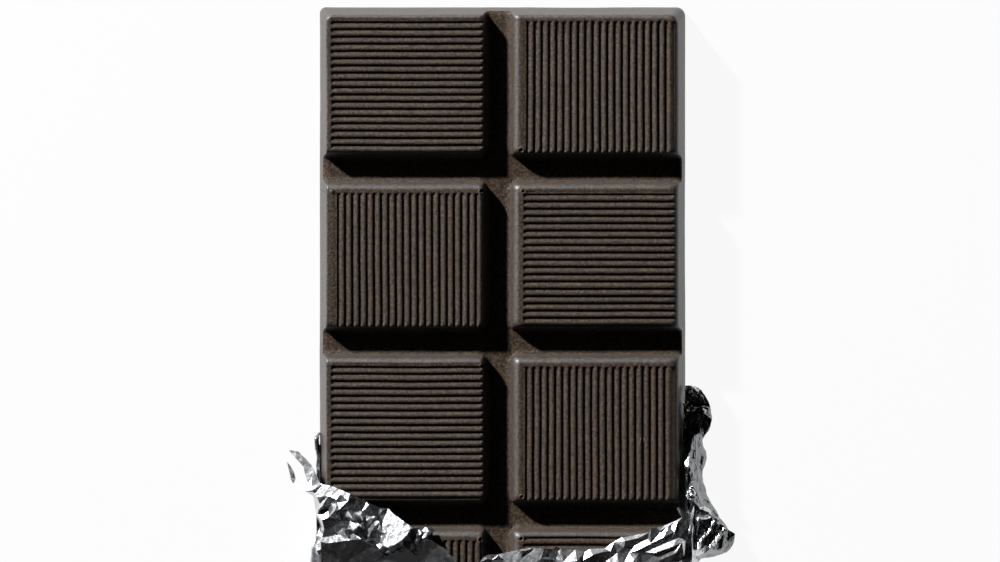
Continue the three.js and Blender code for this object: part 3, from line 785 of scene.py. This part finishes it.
EAR_OUTLINE = [
    (289, 450.2, 7.4), (293, 450.6, 7.56), (298.5, 451.5, 7.8), (305.5, 458.5, 8.3), (312, 465.7, 8.75),
    (315.7, 473.6, 9.2), (319.3, 481.4, 9.55), (321, 485, 9.8), (313, 490, 10.1), (303.5, 490.5, 9.6),
    (297, 489, 8.8), (293.5, 484.5, 8), (290.7, 478.6, 7.3), (288.6, 468.6, 6.8), (287, 462, 6.4),
    (290.7, 466.4, 6), (293.6, 471.4, 6.3), (295.7, 478.6, 6.9), (298.5, 483.5, 8.3), (304, 485.5, 8.9),
    (308.6, 482.9, 9.25), (307, 480, 9.1), (305, 474.3, 8.8), (303.6, 467, 8.5), (300, 463, 8.25),
    (293.6, 455.7, 7.75),
]
EAR_FOLDS = [
    (299, 457, 8), (309, 470, 8.8), (312, 477, 9.2), (311, 486, 9.7), (300, 488, 8.9), (293, 478, 7),
]
STRIP_OUTLINE = [
    (684.1, 385.5, 2.6), (690, 385.6, 1.4), (695.5, 387, 1.5), (700, 390, 2.2), (703.7, 394.5, 2.4),
    (707.3, 401, 2.3), (709.8, 407, 1.4), (711, 413, 1.4), (711.4, 419, 2.4), (709.7, 427, 2.4),
    (706, 434, 2.2), (703, 441, 1.4), (704, 446, 1), (706, 452, 1), (706.6, 457, 1), (704.8, 464, 1),
    (702.8, 472, 1.2), (702.4, 481, 1.6), (704, 487, 1.8), (706.5, 495, 2), (711, 503, 2.4),
    (717, 511.5, 2.6), (721.5, 519, 2.8), (727.5, 529, 3), (734.8, 534, 2.4), (733.2, 541, 2),
    (730, 548, 1.6), (726, 552.5, 1.3), (714, 556, 1.2), (701, 559.2, 1), (697, 563, 1), (692, 563, 3.5),
    (688, 552, 5), (687, 535, 6.2), (687.5, 522, 7), (688, 512, 7.2), (691, 504.5, 8), (688, 499, 8.2),
    (686.8, 493, 7.5), (688.5, 486, 7), (690.5, 480, 6.8), (689.5, 474, 7.4), (687.6, 470.5, 8.2),
    (684.6, 468, 7.8), (685.3, 461, 7.3), (685.8, 453, 6.2), (684.1, 444, 3.8), (684.1, 425, 3.8),
    (684.1, 405, 3.8),
]
STRIP_FOLDS = [
    (688, 391.7, 2.2), (697.6, 388.6, 1.9), (698.4, 390.3, 2.5), (689, 393.5, 3), (690.5, 395, 2.5),
    (699.8, 390.9, 2.1), (692, 396.2, 3.2), (688, 399, 3.1), (701, 397, 3), (695.5, 401, 3.3),
    (703.5, 402.5, 2.9), (694, 404.4, 2.5), (703, 403.9, 2.3), (694, 407.8, 3.5), (703.5, 408, 3.5),
    (686.5, 402, 3.3), (689.5, 406, 2.3), (687, 410, 3.1), (690.5, 411, 3.4), (692.5, 406, 3.2),
    (696.5, 413, 2.6), (705, 414, 3.4), (699, 417.5, 2.8), (687.5, 417, 2.9), (692.5, 418, 3.4),
    (689.5, 422, 2.4), (687.5, 428, 2.9), (696.5, 422, 3.4), (702.5, 419, 3.2), (706.5, 420, 2.9),
    (700.4, 429.5, 3.4), (703.5, 432, 2.8), (693.5, 429, 2.6), (694.2, 435.5, 5.4), (699.7, 432.5, 3.4),
    (688.5, 437, 2.8), (692, 441, 6.2), (699, 440, 3.6), (701.5, 438, 2.8), (690, 449, 6.8),
    (696.5, 449, 4.6), (701, 446.5, 2.8), (687.8, 453, 6.7), (688.6, 460, 7.9), (695, 461, 4.6),
    (688.6, 466.5, 8.6), (691, 470, 7.6), (698, 469, 3.8), (693, 477, 6.6), (699, 480, 3.6),
    (691, 487, 7.6), (693, 486, 7.7), (696, 492, 6.6), (699, 489, 4.4), (691, 495, 8.3), (693.6, 502, 8.5),
    (695, 497, 7.6), (699, 499, 6.6), (698.5, 506, 7.9), (704, 499, 4), (704.5, 505, 5.6), (701, 509, 7.4),
    (708, 512, 6.9), (711, 508.5, 5), (713, 517, 6.4), (717.5, 519.5, 5.9), (724.5, 526, 4.9),
    (696, 511, 7.4), (694, 518, 8), (701, 515.5, 7.2), (707.5, 514.5, 6.8), (697, 522.5, 8.5),
    (703.5, 519.5, 7.8), (709.5, 518, 7.3), (698, 524.5, 7.2), (704.5, 521.5, 6.8), (710.5, 520, 6.4),
    (708, 525, 6.5), (703, 532, 6.8), (698, 539, 7.4), (694, 545, 7.7), (714, 521.5, 6.9), (711, 528, 7),
    (706, 535.5, 7.3), (701, 542.5, 7.9), (697, 549, 8.2), (715.5, 523, 5.9), (712.5, 529.5, 6),
    (707.5, 537, 6.3), (702.5, 544, 6.6), (698.5, 550.5, 6.4), (716, 531, 5.7), (711.5, 538, 5.9),
    (707, 545.5, 6.1), (720, 533.5, 6.2), (715.5, 541, 6.4), (711, 548, 6.6), (721.5, 535, 5.2),
    (717, 542.5, 5.2), (712.5, 549.5, 5.2), (693, 530, 7.4), (691, 538, 7.2), (725, 530, 5),
    (727, 543, 3.6), (718, 550, 4.2), (704, 553, 4.2), (695, 556, 4.4),
]
EDGE_OUTLINE = [
    (480, 562, 9.9), (484, 557, 10), (489, 554.6, 10.1), (498, 554.5, 10), (520, 549.6, 10.27),
    (533, 547.5, 10.47), (544, 549, 10.75), (553, 549.5, 10.2), (556, 546.4, 10.6), (561, 549, 10.3),
    (575, 549.5, 10.2), (590, 549, 10.2), (606, 548, 10.2), (614, 542, 10.2), (622, 537.5, 10.2),
    (636, 535, 10.2), (649, 532.5, 10.2), (651, 528.5, 10.4), (657, 527.5, 10.4), (664, 526, 10.2),
    (675, 521, 10), (682, 517.5, 9.8), (676.4, 508.6, 9.4), (678.6, 506.6, 9.3), (690, 516.5, 9.1),
    (690, 524, 9), (686.5, 540, 9.2), (684.5, 562, 9.2), (684, 590, 9.4), (640, 592, 9.8), (560, 592, 9.8),
    (480, 590, 9.8),
]
EDGE_FOLDS = [
    (487, 558.5, 11), (492, 560, 10.3), (498.5, 556.5, 10.9), (504, 560, 10.42), (541, 559, 11.25),
    (548, 556, 10.1), (558, 551, 10.4), (556, 560, 10.1), (563, 562, 11.4), (577, 561, 11.9),
    (585, 552, 10.3), (580, 562, 10.6), (592, 555, 11.3), (602, 552, 10.9), (586, 568, 10.3),
    (610, 551, 11), (606, 561, 10.3), (617, 553, 10.4), (624, 547, 10.9), (629, 553, 10.3),
    (634, 560, 11.9), (625, 541, 10.7), (638, 538.3, 10.7), (650, 535.5, 10.7), (660, 530.5, 10.8),
    (668, 527, 10.6), (677, 523, 10.4), (636, 545, 10.3), (648, 539, 10.3), (660, 533, 10.3),
    (671, 527.5, 10.2), (639, 549.5, 11), (651, 543.5, 11), (663, 537.5, 11), (674, 532, 10.9),
    (640, 551.5, 10.3), (652, 545.5, 10.3), (664, 539.5, 10.3), (675, 534, 10.3), (652, 548.5, 10.3),
    (661, 545, 10.3), (670, 541.5, 10.3), (679, 538, 10.2), (654.5, 553, 11), (664, 549.5, 11),
    (673, 546, 11), (682, 542, 10.7), (655, 555, 10.3), (665, 551.5, 10.3), (674, 548, 10.3),
    (640, 566, 10.4), (660, 560, 10.6), (676, 553, 10.7), (666, 571, 10.2), (620, 572, 11.6),
    (600, 578, 10.3), (650, 580, 11), (520, 572, 11.3), (560, 578, 10.7), (684, 522, 10),
]
# Bits of the right strip painted lighter: they keep the full foil colour, not the painted-shade copy, and are
# crumpled more. Place in the picture, radius in pixels and crumple.
BRIGHT_SPOTS = [
    (695, 390, 4, 1.6), (690, 409, 5, 2.2), (690, 421, 4.5, 2.2), (704, 410, 4.5, 1.6), (703, 514, 8, 0.3),
    (705, 524, 9, 0.3), (700, 536, 9, 0.3), (711, 537, 9, 0.3), (697, 549, 7, 0.3), (691, 492, 4, 0.8),
]
SPOT_HEIGHT = 4.0  # at which their places are read off the picture
SPOT_CREASE = 1.3  # size of their creases
QUARTERINGS = 4  # of the triangles between the points


def seen_at(corners):
    """Points in the bar's frame from [place across and down the camera's picture, height]."""
    across, down, z = np.array(corners, float).T
    scale = PIXELS_PER_MM * CAMERA_HEIGHT / (CAMERA_HEIGHT - z)
    middle = np.array([IMAGE_WIDTH, IMAGE_HEIGHT]) / 2
    place = np.stack([across - middle[0], middle[1] - down], axis=1) / scale[:, None] + CAMERA_PLACE
    return np.column_stack([place, z])


def quartered(points, faces):
    """Every triangle cut into four at the middles of its sides."""
    sides = np.sort(np.concatenate([faces[:, [0, 1]], faces[:, [1, 2]], faces[:, [2, 0]]]), axis=1)
    sides, number = np.unique(sides, axis=0, return_inverse=True)
    a, b, c = faces.T
    ab, bc, ca = len(points) + number.reshape(3, -1)
    points = np.concatenate([points, points[sides].mean(axis=1)])
    corners = [(a, ab, ca), (ab, b, bc), (ca, bc, c), (ab, bc, ca)]
    return points, np.concatenate([np.stack(corner, axis=1) for corner in corners])


def spot_crumple(points):
    """How much the bright spots are crumpled, and 0 outside them."""
    spots = seen_at([(across, down, SPOT_HEIGHT) for across, down, *_ in BRIGHT_SPOTS])
    radii, amounts = np.array(BRIGHT_SPOTS)[:, 2:].T
    inside = np.hypot(*(points[:, None, :2] - spots[:, :2]).T) < radii[:, None] / PIXELS_PER_MM
    return (inside * amounts[:, None]).max(axis=0)


def creased_sheet(name, outline, folds, material, amplitude, size, seed, stretch=1, spot_material=None):
    """A sheet with flat bits between the given points, which are crumpled a little themselves, with creases
    that much longer along the bar than across it. Bright spots have a material of their own, which on the
    right strip is the full foil colour, painted lighter than the painted-shade rest."""
    points = seen_at(outline + folds)
    plan = [Vector(point[:2]) for point in points]
    _, _, faces, *_ = delaunay_2d_cdt(plan, [], [list(range(len(outline)))], 1, 1e-6)
    faces = np.array(faces)
    for _ in range(QUARTERINGS):
        points, faces = quartered(points, faces)
    points = points + crumple_shift(points / (1, stretch, 1), amplitude, size, seed)
    if spot_material is None:
        return foil_piece(name, points, faces, material)
    spots = spot_crumple(points)
    points = points + spots[:, None] * crumple_shift(points, 1, SPOT_CREASE, seed)
    piece = foil_piece(name, points, faces, material)
    piece.data.materials.append(spot_material)
    piece.data.polygons.foreach_set("material_index", (spots[faces[:, 0]] > 0).astype(int))
    return piece


def crumple_shift(points, amplitude, size, seed):
    """Crumple up and down and across, and half as much along the bar."""
    shares = np.array([1, 0.5, 1]) * amplitude
    shifts = [share * crumple(points, size, seed + AXIS_SEEDS * axis) for axis, share in enumerate(shares)]
    return np.stack(shifts, axis=1)


# The narrow rim that still stands along the left wall: y, x and z of its upper edge.
LEFT_RIM = [
    (-18.4, -38.4, 1.6), (-19.4, -39, 2.6), (-21.5, -39, 2.8), (-23.5, -38.5, 2.2), (-26, -38.6, 2.5),
    (-28.3, -38.3, 3.2),
]
RIM_FOOT, RIM_WALL = (-38.1, -0.3), -38.15  # x and z of its foot, and x of its inner side
RIM_LEAVE, RIM_CREST = 0.6, 0.6  # share of its height where it leaves the wall, and where its crest begins
RIM_LIP = [(0, 0.2), (0.1, 1.2)]  # how far out and down its outer lines are from the upper edge
RIM_STEPS = 90, 60


def left_rim_grid():
    """Up along the wall, over the upper edge and a little down on the outside."""
    rows = []
    for y, x, z in LEFT_RIM:
        inner = [(RIM_FOOT[0], y, RIM_FOOT[1]), (RIM_WALL, y, RIM_LEAVE * z), (x + RIM_CREST, y, z)]
        rows.append(inner + [(x - out, y, z - down) for out, down in RIM_LIP])
    fine = spline(np.array(rows), RIM_STEPS[0])
    return spline(fine.transpose(1, 0, 2), RIM_STEPS[1]).transpose(1, 0, 2)


# ---- Materials ----

MIX_FIRST, MIX_SECOND, MIX_RESULT = 6, 7, 2  # a mix node's sockets for colours


class Nodes:
    """Short calls to build the nodes of a material or world."""

    def __init__(self, owner):
        owner.use_nodes = True
        self.owner, self.tree = owner, owner.node_tree
        self.shader = self.tree.nodes.get("Principled BSDF")

    def add(self, kind, inputs=None, **settings):
        node = self.tree.nodes.new(kind)
        for key, value in settings.items():
            setattr(node, key, value)
        self.feed(node, inputs or {})
        return node

    def feed(self, node, inputs):
        for key, value in inputs.items():
            self.put(node.inputs[key], value)

    def put(self, socket, value):
        if isinstance(value, bpy.types.NodeSocket):
            self.tree.links.new(value, socket)
        else:
            socket.default_value = (*value, 1) if socket.type == "RGBA" else value

    def millimetres(self):
        place = self.add("ShaderNodeTexCoord").outputs["Object"]
        scaled = self.add("ShaderNodeVectorMath", {0: place, 1: (1 / MM,) * 3}, operation="MULTIPLY")
        return scaled.outputs[0]

    def noise(self, place, size, detail=3.0, roughness=0.55):
        inputs = {"Vector": place, "Scale": 1 / size, "Detail": detail, "Roughness": roughness}
        return self.add("ShaderNodeTexNoise", inputs).outputs["Fac"]

    def ramp(self, value, stops):
        """Between two stops, each a position and a colour."""
        node = self.add("ShaderNodeValToRGB", {"Fac": value})
        for element, (position, colour) in zip(node.color_ramp.elements, stops):
            element.position = position
            element.color = (*colour, 1)
        return node.outputs["Color"]

    def calculate(self, operation, first, second):
        return self.add("ShaderNodeMath", {0: first, 1: second}, operation=operation).outputs[0]

    def range(self, value, low, high, to_low, to_high, **settings):
        """Goes from to_low to to_high while the value goes from low to high."""
        inputs = {"Value": value, "From Min": low, "From Max": high, "To Min": to_low, "To Max": to_high}
        return self.add("ShaderNodeMapRange", inputs, **settings).outputs["Result"]

    def bump(self, height, distance, strength=1.0, normal=None):
        inputs = {"Height": height, "Distance": distance * MM, "Strength": strength}
        if normal is not None:
            inputs["Normal"] = normal
        return self.add("ShaderNodeBump", inputs).outputs["Normal"]

    def mix(self, share, first, second):
        node = self.add("ShaderNodeMix", data_type="RGBA")
        self.feed(node, {0: share, MIX_FIRST: first, MIX_SECOND: second})
        return node.outputs[MIX_RESULT]


# The chocolate's colours: its body, which varies, dark and pale grains, bloom and dust.
BODY = (0.0172, 0.0113, 0.0069), (0.0194, 0.0128, 0.0079)
DARK = (0.003, 0.0018, 0.0012)
PALE = (0.044, 0.029, 0.0165)
BLOOM = (0.1, 0.06, 0.028)
DUST = (0.1, 0.075, 0.055)
FOIL = (0.61, 0.62, 0.64), (0.69, 0.7, 0.72)
SHADED = 0.37  # painted shade: share of the foil colour kept, for darker reflections beside the bar
CLOUD, GRAIN, MOTTLE, SPECK = 6.0, 0.5, 0.45, 0.22  # sizes of what varies on the chocolate
FOIL_GRAIN = 0.9
FLOOR_CLOUD = 300.0
FLOOR_GREYS, FLOOR_GLOW = (0.02, 0.022), 0.93


def chocolate_material():
    nodes = Nodes(bpy.data.materials.new("dark_chocolate"))
    place = nodes.millimetres()
    cloud = nodes.noise(place, CLOUD)
    grain = nodes.noise(place, GRAIN, detail=4)
    dust = nodes.noise(place, SPECK, detail=1)
    body = nodes.ramp(cloud, zip((0.3, 0.7), BODY))
    speck = nodes.range(dust, 0.74, 0.82, 0, 1)
    finish = nodes.add("ShaderNodeAttribute", attribute_name="finish").outputs["Fac"]
    mottle = nodes.noise(place, MOTTLE, detail=2, roughness=0.7)
    mottled = nodes.mix(nodes.range(mottle, 0.38, 0.5, 0.75, 0), body, DARK)
    mottled = nodes.mix(nodes.range(mottle, 0.5, 0.62, 0, 0.8), mottled, PALE)
    bloomed = nodes.mix(nodes.range(finish, -0.1, -0.8, 0, 1), mottled, BLOOM)
    surface = {
        "Base Color": nodes.mix(speck, bloomed, DUST),
        "Roughness": nodes.range(grain, 0.3, 0.7, 0.54, 0.66),
        "Specular IOR Level": nodes.range(finish, 0, 1, 0.1, 0.5),
        "Specular Tint": (0.8, 0.9, 1.0),
        "Coat Weight": nodes.range(finish, 0, 1, 0, 0.4),
        "Coat Roughness": 0.35,
        "Coat IOR": 1.3,
        "Normal": nodes.bump(dust, 0.02, 0.5, nodes.bump(grain, 0.08, 0.7)),
    }
    nodes.feed(nodes.shader, surface)
    return nodes.owner


def foil_material(name, share):
    """Bare foil with its colour scaled by this share; below 1 it is a copy darkened with painted shade."""
    nodes = Nodes(bpy.data.materials.new(name))
    crease = nodes.noise(nodes.millimetres(), FOIL_GRAIN)
    colours = [tuple(share * part for part in colour) for colour in FOIL]
    surface = {
        "Base Color": nodes.ramp(crease, zip((0.2, 0.8), colours)),
        "Metallic": 1.0,
        "Roughness": nodes.range(crease, 0.2, 0.8, 0.22, 0.29),
        "Normal": nodes.bump(crease, 0.05, 0.6),
    }
    nodes.feed(nodes.shader, surface)
    return nodes.owner


def floor_material():
    """The photo's plain ground: it shines by itself and takes no shadow."""
    nodes = Nodes(bpy.data.materials.new("pale_floor"))
    cloud = nodes.noise(nodes.millimetres(), FLOOR_CLOUD, detail=1)
    greys = [(grey,) * 3 for grey in FLOOR_GREYS]
    surface = {
        "Base Color": nodes.ramp(cloud, zip((0, 1), greys)),
        "Roughness": 1.0,
        "Specular IOR Level": 0.0,
        "Emission Color": (1, 1, 1),
        "Emission Strength": FLOOR_GLOW,
    }
    nodes.feed(nodes.shader, surface)
    return nodes.owner


# ---- Pieces ----

*chocolate_form, finish_values = chocolate_mesh()
chocolate = make_object("ribbed_chocolate", *chocolate_form, chocolate_material())
chocolate.data.attributes.new("finish", "FLOAT", "POINT").data.foreach_set("value", finish_values)
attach(chocolate, "root")
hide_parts("chocolate_bar")

# painted shade: shaded_foil is the foil colour darkened, for the right strip and the left rim
foil_look, shaded_foil = foil_material("aluminium_foil", 1.0), foil_material("shaded_foil", SHADED)
foil_pieces = [
    foil_piece("foil_sleeve", *sleeve_mesh(), foil_look),
    creased_sheet("foil_torn_band", BAND_OUTLINE, BAND_FOLDS, foil_look, amplitude=0.14, size=1.4, seed=1),
    creased_sheet("foil_left_ear", EAR_OUTLINE, EAR_FOLDS, foil_look, amplitude=0.05, size=1.2, seed=2),
    creased_sheet("foil_torn_edge", EDGE_OUTLINE, EDGE_FOLDS, foil_look, amplitude=0.1, size=1.8, seed=5),
    # painted shade on the right strip, with its bright spots painted lighter in the full foil colour
    creased_sheet(
        "foil_right_strip", STRIP_OUTLINE, STRIP_FOLDS, shaded_foil,
        amplitude=0.55, size=1.2, seed=3, stretch=2.5, spot_material=foil_look,
    ),
    # painted shade on the left rim
    crumpled_sheet("foil_left_rim", left_rim_grid(), shaded_foil, amplitude=0.5, size=2.0, seed=4),
]
for piece in foil_pieces:
    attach(piece, "root")
    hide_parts("foil_wrapper")

# ---- Stage, camera and lights ----

FLOOR_HALF = 1500.0
SENSOR = 36.0
KEY_AZIMUTH, KEY_ELEVATION = math.radians(134), math.radians(26.5)  # from +X towards +Y, and up
KEY_DISTANCE, KEY_SIZE = 1.4, 0.1  # in metres
KEY_POWER = 95  # in watts
# Radiance of the room: overhead, of the patch right above, near the horizon away from the key light, and
# how much more it is there on the key light's side. Then between which heights these go over.
SKY_ZENITH, CEILING, SKY_RIM, SKY_WINDOW = 0.001, 0.04, 0.01, 1.0
SIDES_END, CEILING_EDGE = (0.12, 0.55), (0.92, 0.97)
KEY_PART = 0.707  # of x and of y in the way to the key light


def make_floor():
    x, y = np.meshgrid([-FLOOR_HALF, FLOOR_HALF], [-FLOOR_HALF, FLOOR_HALF])
    points = np.stack([x.ravel(), y.ravel(), np.full(4, -BAR_ORIGIN[2])], axis=1)
    floor = make_object("floor", points, np.array([(0, 1, 3), (0, 3, 2)]), floor_material())


def make_camera():
    camera = bpy.data.cameras.new("camera")
    camera.sensor_width = SENSOR
    camera.lens = SENSOR * CAMERA_HEIGHT * PIXELS_PER_MM / IMAGE_WIDTH
    holder = linked("camera", camera)
    holder.location = (np.array([*CAMERA_PLACE, CAMERA_HEIGHT]) + BAR_ORIGIN) * MM
    bpy.context.scene.camera = holder


def make_key_light():
    light = bpy.data.lights.new("key", "AREA")
    light.shape = "DISK"
    light.size = KEY_SIZE
    light.energy = KEY_POWER
    holder = linked("key", light)
    flat, up = math.cos(KEY_ELEVATION), math.sin(KEY_ELEVATION)
    out = np.array([flat * math.cos(KEY_AZIMUTH), flat * math.sin(KEY_AZIMUTH), up])
    holder.location = BAR_ORIGIN * MM + out * KEY_DISTANCE
    holder.rotation_euler = (math.pi / 2 - KEY_ELEVATION, 0, KEY_AZIMUTH + math.pi / 2)


def make_world():
    """A dim room, paler towards the horizon and brightest on the key light's side."""
    nodes = Nodes(bpy.data.worlds.new("world"))
    way = nodes.add("ShaderNodeTexCoord").outputs["Generated"]
    x, y, z = nodes.add("ShaderNodeSeparateXYZ", {0: way}).outputs
    towards_key = nodes.calculate("MULTIPLY", nodes.calculate("SUBTRACT", y, x), KEY_PART)
    window = nodes.calculate("POWER", nodes.calculate("MAXIMUM", towards_key, 0.0), 2.0)
    rim = nodes.calculate("ADD", nodes.calculate("MULTIPLY", window, SKY_WINDOW), SKY_RIM)
    low_down = nodes.range(z, *SIDES_END, 1, 0, interpolation_type="SMOOTHSTEP")
    overhead = nodes.range(z, *CEILING_EDGE, SKY_ZENITH, CEILING, interpolation_type="SMOOTHSTEP")
    total = nodes.calculate("ADD", nodes.calculate("MULTIPLY", rim, low_down), overhead)
    nodes.feed(nodes.tree.nodes["Background"], {"Strength": total, "Color": (1, 1, 1)})
    bpy.context.scene.world = nodes.owner


make_floor()
make_camera()
make_key_light()
make_world()
bpy.context.scene.view_settings.view_transform = "Standard"
